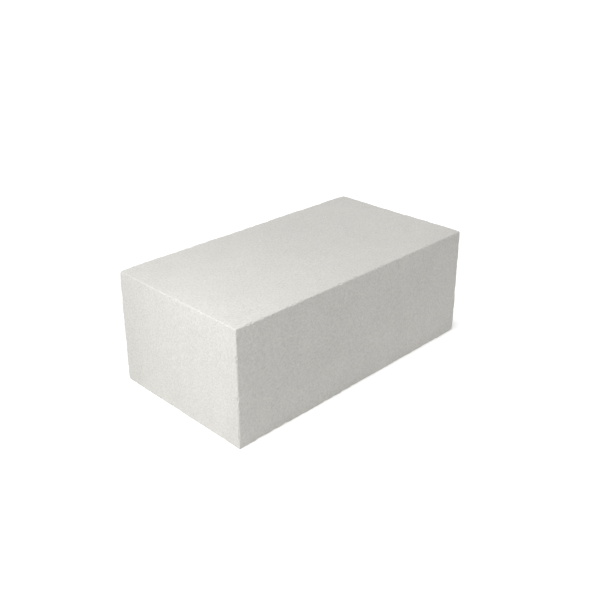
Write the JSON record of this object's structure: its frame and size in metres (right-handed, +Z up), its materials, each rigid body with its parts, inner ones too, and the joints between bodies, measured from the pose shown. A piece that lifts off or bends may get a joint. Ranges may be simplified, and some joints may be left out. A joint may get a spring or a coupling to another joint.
{
  "type": "aerated concrete block",
  "caption": "Solid rectangular aerated concrete masonry block with flat faces and slightly rounded arrises, laid on its bed face in walls.",
  "frame": {"origin": "centre of the bed face, the face that the block rests on", "axes": "+X along the block's length, +Y through its width, +Z up from the bed face"},
  "size_m": [0.6, 0.32, 0.224],
  "materials": {
    "concrete": "matt, dry, fine-grained, pale warm grey"
  },
  "bodies": {
    "root": {"block": "concrete"}
  },
  "joints": []
}
